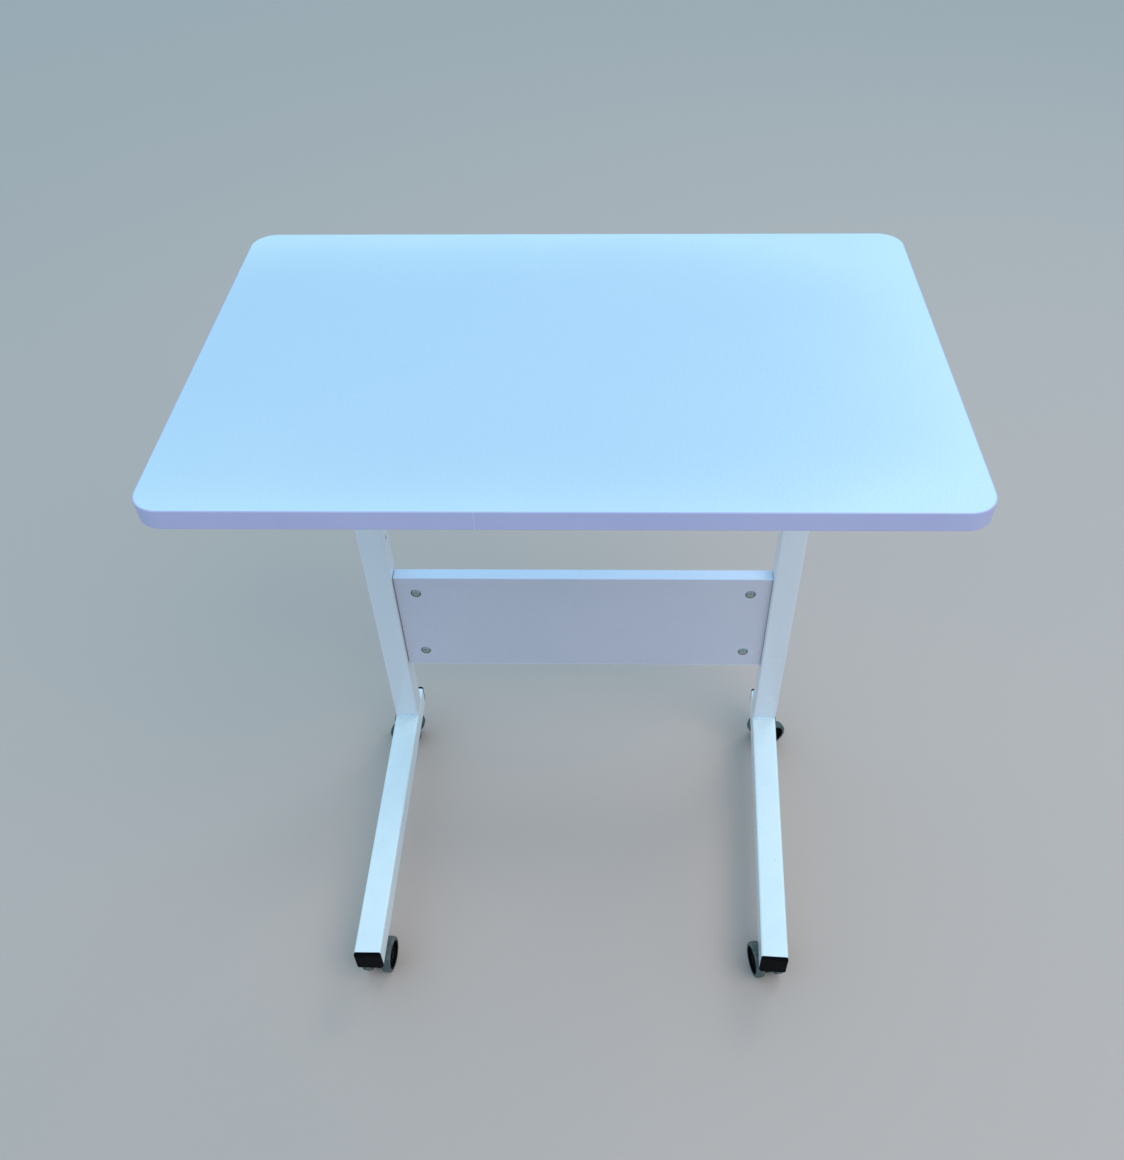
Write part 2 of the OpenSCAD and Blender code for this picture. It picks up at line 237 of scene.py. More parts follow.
def pebbledLaminate(name, look):  # melamine face with a fine pebbled press, over chipboard
    f = Finish(name, Specular_IOR_Level=look["gloss"])
    cloud = f.noise(9, 4)
    white = f.mix(f.ramp(cloud, 0.35, 0.7), look["white"], look["whiteDeep"])
    if "shadedMiddle" in look:  # painted shade: a broad darker middle, lighter towards the edges, standing in for how the light falls on the top; far is (x / halfWidth)^4 + (y / halfDepth)^4, plus a little noise
        x, y, halfWidth, halfDepth = look["shadedMiddle"]
        across, along = [f.maths("POWER", f.maths("DIVIDE", f.maths("SUBTRACT", f.axis(letter), middle), half), 4)
                         for letter, middle, half in (("X", x, halfWidth), ("Y", y, halfDepth))]
        far = f.maths("ADD", f.maths("ADD", across, along), f.ramp(f.noise(4, 2), 0.3, 0.7, -0.15, 0.15))
        white = f.mix(f.ramp(far, -0.1, 1.3, 1, 0, "SMOOTHSTEP"), white, look["shadedMiddleWhite"])
    specks = f.ramp(f.noise(700, 2), 0.66, 0.74, 0, look["speck"])
    white = f.mix(specks, white, look["dust"])
    if "core" in look:  # bare chipboard on every face but the two pressed ones
        middle, half = look["core"]
        fromMiddle = f.maths("ABSOLUTE", f.maths("SUBTRACT", f.axis("Y"), middle))
        bare = f.ramp(fromMiddle, half - 0.08 * mm, half - 0.02 * mm, 1, 0)
        chips = f.mix(f.ramp(f.noise(420, 5, 0.7), 0.35, 0.65), look["chipDark"], look["chipLight"])
        white = f.mix(bare, white, chips)
    f.colour(white)
    f.rough(f.ramp(f.noise(14, 5), 0.3, 0.75, *look["rough"]))
    f.bumps((f.noise(26, 2), look["wave"]), (f.cells(look["pebblesPerMetre"]), look["pebble"]),
            (f.noise(2600, 2), look["pebble"] * 0.25))
    return f.made


def edgeTape(name, look):  # smooth plastic edging
    f = Finish(name, Specular_IOR_Level=0.5)
    tint = f.mix(f.ramp(f.noise(16, 4), 0.35, 0.7), look["tape"], look["tapeDeep"])
    marks = f.ramp(f.noise(110, 5, 0.7), 0.64, 0.72, 0, look["marks"])
    f.colour(f.mix(marks, tint, look["dust"]))
    f.rough(f.ramp(f.noise(60, 4), 0.3, 0.7, *look["rough"]))
    f.bumps((f.noise(40, 2), look["wave"]), (f.noise(900, 2), look["grain"]))
    return f.made


def powderCoat(name, look):  # baked paint with orange peel, and dust that gathers low down
    f = Finish(name, Specular_IOR_Level=0.5, Coat_Weight=look["coat"], Coat_Roughness=look["coatRough"])
    tint = f.mix(f.ramp(f.noise(11, 4), 0.35, 0.7), look["paint"], look["paintDeep"])
    low = f.ramp(f.axis("Z"), look["dustTop"], look["dustFull"], 0, 1)
    film = f.maths("MULTIPLY", low, f.ramp(f.noise(45, 5, 0.65), 0.40, 0.75, 0, look["film"]))
    tint = f.mix(film, tint, look["dust"])
    chips = f.ramp(f.noise(230, 3, 0.6), 0.735, 0.745, 0, look["chips"])
    f.colour(f.mix(chips, tint, look["steel"]))
    f.rough(f.ramp(f.noise(35, 4), 0.3, 0.7, *look["rough"]))
    f.bumps((f.cells(look["peelPerMetre"], 1.0), look["peel"]), (f.noise(1500, 2), look["peel"] * 0.3))
    return f.made


def mouldedPlastic(name, look):  # spark-textured moulding with a little dust in it
    f = Finish(name, Specular_IOR_Level=look["gloss"])
    grain = f.noise(look["grainPerMetre"], 3)
    dusty = f.ramp(f.noise(55, 5, 0.7), 0.42, 0.8, 0, look["dusting"])
    f.colour(f.mix(dusty, f.mix(grain, look["plastic"], look["plasticLight"]), look["dust"]))
    f.rough(f.ramp(f.noise(120, 4), 0.3, 0.7, *look["rough"]))
    f.bumps((f.noise(90, 3), 0.00006), (grain, look["grain"]))
    return f.made


def zincPlate(name, look):  # bright plating with a faint bloom and fine spangle
    f = Finish(name, Metallic=1.0)
    bloom = f.ramp(f.noise(240, 5, 0.65), 0.35, 0.7)
    f.colour(f.mix(bloom, look["metal"], look["bloom"]))
    f.rough(f.ramp(f.noise(520, 4), 0.3, 0.7, *look["rough"]))
    f.bumps((f.noise(380, 4), 0.00002), (f.noise(2400, 2), 0.00001))
    return f.made


boardLook = {"white": (0.665, 0.785, 0.81), "whiteDeep": (0.64, 0.76, 0.795), "dust": (0.42, 0.43, 0.42),
             "speck": 0.14, "gloss": 0.4, "rough": (0.38, 0.52), "wave": 0.00025, "pebblesPerMetre": 480,
             "pebble": 0.00022}
# the top's laminate with painted shade: a darker white over its broad middle
topLook = dict(boardLook, shadedMiddle=(-0.09, -0.01, 0.38, 0.20), shadedMiddleWhite=(0.53, 0.655, 0.765))
# painted shade: the back panel's white is a darker, lavender copy of the top's white, standing in for the shade under
# the top; chipDark and chipLight are the chipboard's own colours
panelShadedLook = dict(boardLook, white=(0.68, 0.60, 0.655), whiteDeep=(0.655, 0.58, 0.64),
                 chipDark=(0.30, 0.20, 0.11), chipLight=(0.62, 0.47, 0.30))
# painted shade: the top's edging is a darker, lavender copy of a white plastic, standing in for the shade and ambient
# light on the front edge
tapeShadedLook = {"tape": (0.53, 0.49, 0.71), "tapeDeep": (0.50, 0.46, 0.68), "dust": (0.36, 0.35, 0.40), "marks": 0.25,
            "rough": (0.26, 0.40), "wave": 0.00012, "grain": 0.00002}
paintLook = {"paint": (0.90, 0.925, 0.915), "paintDeep": (0.86, 0.90, 0.90), "dust": (0.50, 0.49, 0.44), "film": 0.12,
             "dustTop": 0.16, "dustFull": 0.05, "chips": 0.7, "steel": (0.10, 0.10, 0.10), "coat": 0.8,
             "coatRough": 0.13, "rough": (0.26, 0.36), "peelPerMetre": 480, "peel": 0.00004}
# painted light: the panel's edging is a lighter, bluer copy of the same white plastic, standing in for sky light on its
# edges
panelTapeLitLook = dict(tapeShadedLook, tape=(0.81, 0.84, 0.97), tapeDeep=(0.78, 0.82, 0.95))
# painted shade: the posts get a darker, warmer copy of the powder coat, standing in for how the light falls on them
postShadedLook = dict(paintLook, paint=(0.82, 0.77, 0.785), paintDeep=(0.80, 0.76, 0.78), film=0.08)
# painted light and shade: the weld beads get a bluer copy of the powder coat with a darker deep tone, standing in for
# shade and sky light on them
beadShadedLook = dict(paintLook, paint=(0.80, 0.87, 0.92), paintDeep=(0.70, 0.79, 0.86), peel=0.00012)
capLook = {"plastic": (0.002, 0.002, 0.0025), "plasticLight": (0.004, 0.004, 0.005), "dust": (0.03, 0.03, 0.03),
           "dusting": 0.08, "gloss": 0.03, "grainPerMetre": 1800, "grain": 0.00004, "rough": (0.42, 0.60)}
wheelLook = dict(capLook, dusting=0.22)
tyreLook = {"plastic": (0.065, 0.075, 0.068), "plasticLight": (0.10, 0.115, 0.105), "dust": (0.30, 0.31, 0.28),
            "dusting": 0.7, "gloss": 0.3, "grainPerMetre": 1100, "grain": 0.00005, "rough": (0.60, 0.82)}
zincLook = {"metal": (0.62, 0.66, 0.64), "bloom": (0.44, 0.48, 0.46), "rough": (0.28, 0.50)}
camLook = dict(zincLook, metal=(0.52, 0.60, 0.60), bloom=(0.38, 0.45, 0.45), rough=(0.34, 0.56))

panelLow, panelHigh = boxOf("back_panel")
panelMiddle, panelHalf = (panelLow[1] + panelHigh[1]) / 2, (panelHigh[1] - panelLow[1]) / 2
finishes = {
    "board": pebbledLaminate("board laminate", topLook),
    # the back panel's laminate, with painted shade
    "panel": pebbledLaminate("panel laminate, painted shade", dict(panelShadedLook, core=(panelMiddle, panelHalf))),
    # the top's edging, with painted shade
    "tape": edgeTape("edge tape", tapeShadedLook),
    # the panel's edging, with painted light
    "panelTapeLit": edgeTape("panel edge tape, painted light", panelTapeLitLook),
    "paint": powderCoat("powder coat", paintLook),
    # the posts' copy of the powder coat, with painted shade
    "upright": powderCoat("post powder coat, painted shade", postShadedLook),
    # the beads' copy of the powder coat, with painted light and shade
    "bead": powderCoat("weld powder coat, painted shade", beadShadedLook),
    "cap": mouldedPlastic("cap plastic", capLook),
    "wheel": mouldedPlastic("castor plastic", wheelLook),
    "tyre": mouldedPlastic("castor tyre", tyreLook),
    "zinc": zincPlate("zinc plate", zincLook),
    "cam": zincPlate("cam zinc", camLook),
}
print("finishes mixed:", len(finishes))


def place(made, finish, body, *standsFor):  # gives a piece its finish, its body and the nodes it stands for
    made.data.materials.append(finishes[finish])
    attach(made, body)
    if standsFor:
        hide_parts(*standsFor)
    return made


def refinish(node, finish):  # a CAD node that keeps its shape
    materials = frame["nodes"][node].data.materials
    materials.clear()
    materials.append(finishes[finish])


# ---- where the two side frames stand ----

def legPlacer(side):  # turns points given as (towards the middle, rearwards, up) into the desk's frame
    front, rear = jointAt["front_%s_swivel" % side], jointAt["rear_%s_swivel" % side]
    along = (rear - front) / np.linalg.norm(rear - front)
    inward = np.array([along[1], -along[0], 0]) * (1 if side == "left" else -1)
    middle = (front + rear) / 2 * [1, 1, 0]
    matrix = np.stack([inward, along, [0, 0, 1]])
    return lambda points: np.asarray(points) @ matrix + middle


sides = {"left": legPlacer("left"), "right": legPlacer("right")}
flipped = {"left": False, "right": True}  # the right frame is the mirror image of the left
axisX = (boxOf("left_foot")[0][0] + boxOf("left_foot")[1][0]) / 2


def legBox(node):  # a left-frame node's box in frame terms: across from the tube's axis, along, up
    low, high = boxOf(node)
    return low - [axisX, 0, 0], high - [axisX, 0, 0]


# ---- steel tubes ----

tubeLook = {"side": 30 * mm, "wall": 1.5 * mm, "corner": 2.5 * mm, "cornerSteps": 7, "holeSteps": 24}


def tubeSkin(length, holes):
    # A square tube along +Z from 0. The ring is a rounded square; each of its four flats is a strip of
    # rectangles, and a hole turns a square stretch of its flat into a fan of quads between the circle
    # and the square. holes: (flat, place along, radius); flats 0 to 3 face +X, +Y, -X, -Y.
    side, corner, steps = tubeLook["side"], tubeLook["corner"], tubeLook["cornerSteps"]
    half, flat = side / 2, side / 2 - corner
    across = np.tan(arcSteps(-45, 45, tubeLook["holeSteps"] // 4 + 1)) * flat
    rows = np.unique(np.concatenate([[0, length]] + [at + across for face, at, r in holes]).round(7))
    parts = []
    for k in range(4):
        turn = math.radians(90 * k)
        rot = np.array([[math.cos(turn), math.sin(turn), 0], [-math.sin(turn), math.cos(turn), 0], [0, 0, 1]])

        def sheet(line, heights):  # a line of (x, y) carried up through the heights
            grid = np.concatenate([np.broadcast_to(line, (len(heights), len(line), 2)),
                                   np.broadcast_to(heights[:, None, None], (len(heights), len(line), 1))], -1)
            parts.append((grid @ rot, [gridFaces(len(heights), len(line))]))

        a = arcSteps(0, 90, steps)
        sheet(np.stack([flat + corner * np.cos(a), flat + corner * np.sin(a)], 1), rows)
        cuts = sorted((at, r) for face, at, r in holes if face == k)
        columns = across if cuts else across[[0, -1]]
        ends = [0] + [v for at, r in cuts for v in (at - flat, at + flat)] + [length]
        for low, high in zip(ends[0::2], ends[1::2]):
            sheet(np.column_stack([np.full(len(columns), half), columns]),
                  rows[(rows > low - 1e-6) & (rows < high + 1e-6)])
        for at, r in cuts:
            n = tubeLook["holeSteps"]
            a = np.radians(45) + np.arange(n) / n * 2 * math.pi
            circle = np.stack([np.cos(a), np.sin(a)], 1)
            square = circle / np.abs(circle).max(1, keepdims=True) * flat
            t = np.linspace(0, 1, 3)[:, None, None]
            fan = circle * r * (1 - t) + square * t
            fan = np.concatenate([np.full(fan.shape[:2] + (1,), half), fan], -1) + [0, 0, at]
            parts.append((fan @ rot, [gridFaces(3, n, 0, False, True)[:, ::-1]]))
    return joined(parts)


def tubeWall(made):  # the skin gets its wall inwards
    wall = sealed(made).modifiers.new("wall", "SOLIDIFY")
    wall.thickness, wall.offset = tubeLook["wall"], -1
    return weighted(made)


def tubeAlong(name, low, high, upright, holes, side):  # low and high are the tube's box in frame terms
    length = (high - low)[2 if upright else 1]
    points, faces = tubeSkin(length, holes)
    if upright:
        points = points + [0, (low[1] + high[1]) / 2, low[2]]
    else:  # laid along +Y: the ring's Y becomes up
        points = np.stack([-points[:, 0], points[:, 2], points[:, 1]], 1) + [0, low[1], (low[2] + high[2]) / 2]
    return tubeWall(finishMesh(name, sides[side](points), faces, flipped[side]))


frameLook = {"spareHole": 2.5 * mm, "spareRise": 57 * mm, "accessHole": 5.5 * mm, "screwInset": 30 * mm}
postLow, postHigh = legBox("left_post")
footLow, footHigh = legBox("left_foot")
armLow, armHigh = legBox("left_arm")
bandHigh = boxOf("panel_bands")[1][2]
screwRow = np.array([armLow[1] + frameLook["screwInset"], (armLow[1] + armHigh[1]) / 2,
                     armHigh[1] - frameLook["screwInset"]])
for side in sides:
    post = tubeAlong(side + "_post_tube", postLow, postHigh, True,
                     [(0, bandHigh + frameLook["spareRise"] - postLow[2], frameLook["spareHole"])], side)
    foot = tubeAlong(side + "_foot_tube", footLow, footHigh, False, [], side)
    arm = tubeAlong(side + "_arm_tube", armLow, armHigh, False,
                    [(3, y - armLow[1], frameLook["accessHole"]) for y in screwRow], side)
    # the posts take the copy of the powder coat with painted shade
    place(post, "upright", "desk", side + "_post")
    place(foot, "paint", "desk", side + "_foot")
    place(arm, "paint", "desk", side + "_arm")
print("tubes rolled")


# ---- weld beads ----

weldLook = {"radius": 3 * mm, "ripples": 7, "rippleDepth": 0.22, "lump": 0.14, "steps": 90, "crossSteps": 9}


def bead(width, seed):
    # A bead along X with its square corner on the origin's line, in the +Y +Z quarter. The radius at
    # (along, turn) is the weld's radius times the end taper, the scallops of each pass and slow lumps.
    rng = np.random.default_rng(seed)
    s = np.linspace(0, 1, weldLook["steps"])
    taper = np.clip(np.minimum(s, 1 - s) * width / (weldLook["radius"] * 0.8), 0, 1)
    taper = np.sqrt(1 - (1 - taper) ** 2) * 0.97 + 0.03
    scallop = 1 - weldLook["rippleDepth"] * np.abs(np.cos(math.pi * weldLook["ripples"] * s + 0.4)) ** 3
    lumps = sum(np.sin(2 * math.pi * k * s + rng.uniform(0, 6.28)) * rng.uniform(-1, 1) / k for k in (1, 2, 3, 5))
    r = weldLook["radius"] * taper * scallop * (1 - weldLook["lump"] * (0.5 + 0.25 * lumps))
    turn = arcSteps(0, 90, weldLook["crossSteps"])
    curve = np.stack([0 * s[:, None] + 0 * turn, r[:, None] * np.cos(turn), r[:, None] * np.sin(turn)], -1)
    curve[..., 0] = ((s - 0.5) * width)[:, None]
    corner = curve[:, :1] * [1, 0, 0]
    return stackedRings(np.concatenate([corner, curve], 1))


for side in sides:
    width = tubeLook["side"] - 2 * tubeLook["corner"]
    beads = []
    for k, (y, z, dy, dz) in enumerate([(postLow[1], footHigh[2], -1, 1), (postHigh[1], footHigh[2], 1, 1),
                                        (postLow[1], armLow[2], -1, -1)]):
        points, faces = bead(width, 11 + k + 5 * flipped[side])
        faces = [f[:, ::-1] for f in faces] if dy * dz < 0 else faces
        beads.append((points * [1, dy, dz] + [0, y, z], faces))
    points, faces = joined(beads)
    # the beads take the copy of the powder coat with painted light and shade
    place(sealed(finishMesh(side + "_weld_beads", sides[side](points), faces, flipped[side]), True), "bead", "desk",
          side + "_welds")
print("beads laid")


# ---- end caps ----

capPiece = {"thick": 4 * mm, "edge": 1.3 * mm, "edgeSteps": 6, "lip": 0.25 * mm, "plug": 12 * mm, "plugGap": 0.1 * mm,
            "flat": 2.2 * mm, "groove": (3.2 * mm, 4.3 * mm), "grooveDeep": 0.3 * mm, "middle": (7 * mm, 11 * mm),
            "leastCorner": 0.6 * mm, "cornerSteps": 7}


def capSkin():
    # A cap in the XZ plane with its outer face towards -Y. Rings of the rounded square run up the plug, over
    # a small bevel next to the tube, round a quarter circle at the outer edge, and across the face with its groove.
    side, corner = tubeLook["side"], tubeLook["corner"]
    t, e = capPiece["thick"], capPiece["edge"]
    inner = tubeLook["wall"] + capPiece["plugGap"]
    groove, deep = capPiece["groove"], capPiece["grooveDeep"]
    a = arcSteps(0, 90, capPiece["edgeSteps"])
    rows = [(inner, capPiece["plug"]), (inner, 0.0), (capPiece["lip"], 0.0), (0.0, -capPiece["lip"])]
    rows += [(e * (1 - math.cos(v)), -(t - e) - e * math.sin(v)) for v in a]
    rows += [(capPiece["flat"], -t), (groove[0], -t), (groove[0] + deep, -t + deep), (groove[1] - deep, -t + deep),
             (groove[1], -t)]
    rows += [(x, -t) for x in capPiece["middle"]]
    rings = []
    for inset, y in rows:
        outline, _ = roundCorners(side - 2 * inset, side - 2 * inset, max(corner - inset, capPiece["leastCorner"]),
                                  capPiece["cornerSteps"])
        rings.append(np.stack([outline[:, 0], np.full(len(outline), y), outline[:, 1]], 1))
    return stackedRings(np.array(rings))


for kind, low, high in (("foot", footLow, footHigh), ("arm", armLow, armHigh)):
    shells = []
    for side in sides:
        for y, way in ((low[1], 1), (high[1], -1)):
            points, faces = capSkin()
            turned = (way < 0) != flipped[side]
            points = sides[side](points * [1, way, 1] + [0, y, (low[2] + high[2]) / 2])
            shells.append((points, [f[:, ::-1] for f in faces] if turned else faces))
    points, faces = joined(shells)
    place(weighted(sealed(finishMesh(kind + "_end_caps", points, faces), True)), "cap", "desk", kind + "_caps")
print("caps pressed")


# ---- tabletop and its edging ----

topPiece = {"corner": 22 * mm, "cornerSteps": 17, "arris": 0.75 * mm, "arrisSteps": 6, "joint": -60 * mm,
            "gap": 0.3 * mm}


def tapeRound(low, high, thick):
    # The edging's section, a thin upright strip with soft outer corners, carried round the top's outline
    # from one side of the joint to the other. A point is outline + outward direction * the section's depth.
    width, depth = high[0] - low[0], high[1] - low[1]
    outline, out = roundCorners(width, depth, topPiece["corner"], topPiece["cornerSteps"])
    start = np.array([[topPiece["joint"] + topPiece["gap"] / 2, -depth / 2]])
    end = np.array([[topPiece["joint"] - topPiece["gap"] / 2, -depth / 2]])
    outline = np.roll(outline, topPiece["cornerSteps"], 0)  # begins with the front right corner
    out = np.roll(out, topPiece["cornerSteps"], 0)
    outline = np.concatenate([start, outline, end])
    out = np.concatenate([[[0, -1]], out, [[0, -1]]])
    e = topPiece["arris"]
    a = arcSteps(-90, 0, topPiece["arrisSteps"])
    bottom = np.stack([-e + e * np.cos(a), low[2] + e + e * np.sin(a)], 1)
    top = np.stack([bottom[::-1, 0], low[2] + high[2] - bottom[::-1, 1]], 1)
    section = np.concatenate([[[-thick, low[2]]], bottom, top, [[-thick, high[2]]]])
    rings = outline[:, None, :] + out[:, None, :] * section[None, :, :1]
    rings = np.concatenate([rings, np.broadcast_to(section[None, :, 1:], rings.shape[:2] + (1,))], -1)
    return stackedRings(rings)


points, faces = tapeRound(*boxOf("edge_band"), boxOf("edge_band")[1][0] - boxOf("top_board")[1][0])
# the top's edging takes the finish with painted shade
place(weighted(sealed(finishMesh("top_edge_tape", points, faces), True)), "tape", "desk", "edge_band")
refinish("top_board", "board")

seamPiece = {"edge": 0.08 * mm, "short": 0.3 * mm}  # the glue line that shows where the tape's ends meet
tapeLow, tapeHigh = boxOf("edge_band")
halfSeam, back = topPiece["gap"] / 2, boxOf("top_board")[0][1]
front, soft = tapeLow[1], seamPiece["edge"]
seam = np.array([(-halfSeam, back), (-halfSeam, front + soft), (-halfSeam + soft, front), (halfSeam - soft, front),
                 (halfSeam, front + soft), (halfSeam, back)])
rings = np.stack([np.column_stack([seam + [topPiece["joint"], 0], np.full(len(seam), z)])
                  for z in (tapeLow[2] + seamPiece["short"], tapeHigh[2] - seamPiece["short"])])
# the joint strip takes the panel edging's finish, with its painted light
place(sealed(finishMesh("tape_joint", *stackedRings(rings)), True), "panelTapeLit", "desk", "edge_band")


# ---- back panel, its edging and its fittings ----

stripPiece = {"edge": 0.6 * mm, "edgeSteps": 6}


def tapeStraight(low, high, up):  # a flat strip along X, soft on its two outer edges; up is 1 on the top edge
    e = stripPiece["edge"]
    a = arcSteps(0, 90, stripPiece["edgeSteps"])
    y0, y1 = low[1], high[1]
    outer = [(y1 - e + e * math.cos(v), high[2] - e + e * math.sin(v)) for v in a]
    outer += [(y0 + e - e * math.sin(v), high[2] - e + e * math.cos(v)) for v in a]
    section = np.array([(y1, low[2])] + outer + [(y0, low[2])])
    if up < 0:
        section[:, 1] = low[2] + high[2] - section[:, 1]
        section = section[::-1]
    rings = np.stack([np.column_stack([np.full(len(section), x), section]) for x in (low[0], high[0])])
    return stackedRings(rings)


bandsLow, bandsHigh = boxOf("panel_bands")
strips = [tapeStraight(np.array([bandsLow[0], bandsLow[1], panelHigh[2]]), bandsHigh, 1),
          tapeStraight(bandsLow, np.array([bandsHigh[0], bandsHigh[1], panelLow[2]]), -1)]
points, faces = joined(strips)
# the panel's edging takes the finish with painted light
place(weighted(sealed(finishMesh("panel_edge_tape", points, faces), True)), "panelTapeLit", "desk", "panel_bands")
refinish("back_panel", "panel")

camPiece = {"radius": 6 * mm, "slotReach": 3.6 * mm, "slotHalf": 0.62 * mm, "slotDeep": 1.2 * mm, "rim": 1.2 * mm,
            "rimDeep": 3.2 * mm, "dome": 0.15 * mm, "wall": 4 * mm, "steps": 73, "blur": 0.05 * mm}


def camFace():
    # The face is a square grid pressed into a disc, u * sqrt(1 - v * v / 2) and the same for v, so the
    # cross's arms stay straight. Depth is the rim's bevel, (how far into the rim)^1.5, plus a shallow dome,
    # plus the cross, whose sides are the curve 1 / (1 + e^(distance / blur)).
    n, look = camPiece["steps"], camPiece
    u, v = np.meshgrid(np.linspace(-1, 1, n), np.linspace(-1, 1, n), indexing="ij")
    x, z = look["radius"] * u * np.sqrt(1 - v * v / 2), look["radius"] * v * np.sqrt(1 - u * u / 2)
    r = np.hypot(x, z)

    def within(value, half):
        return 1 / (1 + np.exp((np.abs(value) - half) / look["blur"]))

    cross = np.maximum(within(x, look["slotHalf"]) * within(z, look["slotReach"]),
                       within(z, look["slotHalf"]) * within(x, look["slotReach"]))
    bevel = np.clip((r - look["radius"] + look["rim"]) / look["rim"], 0, 1) ** 1.5 * look["rimDeep"]
    deep = bevel + look["dome"] * (r / look["radius"]) ** 2 + look["slotDeep"] * cross
    face = np.stack([x, deep, z], -1)
    edge = np.concatenate([face[0], face[1:, -1], face[-1, -2::-1], face[-2:0:-1, 0]])
    skirt = np.stack([edge, edge * [1, 0, 1] + [0, look["wall"], 0]])
    return joined([(face, [gridFaces(n, n)]), (skirt, [gridFaces(2, len(edge), 0, False, True)])])


camLow, camHigh = boxOf("cam_locks")
points, faces = camFace()
cams = [(points + [x, camLow[1], z], faces)
        for x in (camLow[0] + camPiece["radius"], camHigh[0] - camPiece["radius"])
        for z in (camLow[2] + camPiece["radius"], camHigh[2] - camPiece["radius"])]
points, faces = joined(cams)
place(sealed(finishMesh("cam_faces", points, faces), True), "cam", "desk", "cam_locks")
for node in ("cam_bolts", "bolt_nuts", "top_screws"):
    refinish(node, "zinc")
print("top and panel edged")


# ---- castors ----

castorPiece = {"wheel": 21 * mm, "tyre": 4 * mm, "inner": 6.5 * mm, "outer": 17 * mm, "trail": 11 * mm}
tyrePiece = {"shoulder": 2.3 * mm, "crown": 0.12 * mm, "lineFlat": 1.6 * mm, "lineHalf": 0.25 * mm, "seat": 0.1 * mm}
hubPiece = {"recess": 3 * mm, "rim": 1.8 * mm, "rimSlope": 0.5 * mm, "rimFoot": 1.2 * mm, "edge": 0.3 * mm,
            "soft": 0.2 * mm, "ring": (3.2 * mm, 2.9 * mm, 2.3 * mm, 2.0 * mm), "ringHigh": 0.35 * mm,
            "boss": 5 * mm, "bossFoot": 0.5 * mm, "bossShoulder": 1.5 * mm, "bossTop": 1.8 * mm, "bossEdge": 0.4 * mm,
            "dimple": (1.6 * mm, 1.2 * mm), "dimpleHigh": (1.4 * mm, 1.3 * mm), "bore": 2.55 * mm,
            "boreEnd": 11.5 * mm, "round": 0.35 * mm}
bodyPiece = {"half": 6 * mm, "disc": 17 * mm, "top": 49 * mm, "foot": 30 * mm, "edge": 1.3 * mm, "round": 2.2 * mm,
             "neckUp": 0.8, "neckTurn": 0.75}  # where the socket's back meets the disc: a share of its radius, an angle
stemPiece = {"pin": 3.5 * mm, "pinFoot": 28 * mm, "collar": 6.5 * mm, "collarLow": 2.5 * mm, "collarHigh": 1 * mm,
             "thread": 4 * mm, "threadUp": 12 * mm, "axis": 0.1 * mm}
nutPiece = {"bore": 4.05 * mm, "flange": 7 * mm, "flangeThick": 1 * mm, "body": 5.5 * mm, "up": 13 * mm}


def castorPlacer(corner):  # local: X along the axle, +Y the way it trails, origin on the floor under the swivel
    axle = jointAxis[corner + "_wheel_1_roll"]
    trail = np.array([-axle[1], axle[0], 0])
    swivel = jointAt[corner + "_swivel"] * [1, 1, 0]
    matrix = np.stack([axle, trail, [0, 0, 1]])
    return lambda points: np.asarray(points) @ matrix + swivel


def revolve(profile, way, steps=96):
    # A profile of (radius, along the axle) turned round the axle. way is -1 for the wheel on the other side.
    rings = spun(np.asarray(profile), steps)
    closed = np.allclose(profile[0], profile[-1])
    points, faces = stackedRings(rings[:-1] if closed else rings, False, closed)
    points = np.stack([points[:, 2] * way, points[:, 0] + castorPiece["trail"], points[:, 1] + castorPiece["wheel"]], 1)
    return points, [f[:, ::-1] for f in faces] if way < 0 else faces


def tyreProfile():  # a band with soft shoulders, a faint crown and a moulding line round its middle
    look = castorPiece
    r, t, s, drop, seat = look["wheel"], look["tyre"], tyrePiece["shoulder"], tyrePiece["crown"], tyrePiece["seat"]
    flat, line = tyrePiece["lineFlat"], tyrePiece["lineHalf"]
    low = [(r - s + s * math.sin(v) - drop, look["inner"] + s - s * math.cos(v)) for v in arcSteps(0, 90, 7)]
    middle = (look["inner"] + look["outer"]) / 2
    crown = [(r, middle - flat), (r, middle - line), (r - drop, middle), (r, middle + line), (r, middle + flat)]
    high = [(x, look["inner"] + look["outer"] - y) for x, y in low[::-1]]
    return np.array([(r - t, look["inner"] + seat)] + low + crown + high +
                    [(r - t, look["outer"] - seat), (r - t, look["inner"] + seat)])


def hubProfile():  # a dished wheel: lip, recess, and a boss with a dimple over the axle's end
    look, inner = hubPiece, castorPiece["inner"]
    r, top = castorPiece["wheel"] - castorPiece["tyre"], castorPiece["outer"]
    floor, rim, boss = top - look["recess"], r - look["rim"], look["boss"]
    ring = [boss + x for x in look["ring"]]
    bossTop, dimple, dimpleHigh = floor + look["bossTop"], look["dimple"], look["dimpleHigh"]
    outer = [(r, inner), (r, top - look["soft"]), (r - look["edge"], top), (rim, top),
             (rim - look["rimSlope"], floor + look["soft"]), (rim - look["rimFoot"], floor),
             (ring[0], floor), (ring[1], floor + look["ringHigh"]),
             (ring[2], floor + look["ringHigh"]), (ring[3], floor),
             (boss + look["bossFoot"], floor), (boss, floor + look["bossShoulder"]), (boss - look["bossEdge"], bossTop),
             (dimple[0], bossTop), (dimple[1], floor + dimpleHigh[0]), (0, floor + dimpleHigh[1]),
             (0, look["boreEnd"]), (look["bore"], look["boreEnd"]), (look["bore"], inner)]
    return rounding(outer + [outer[0]], look["round"], 2)


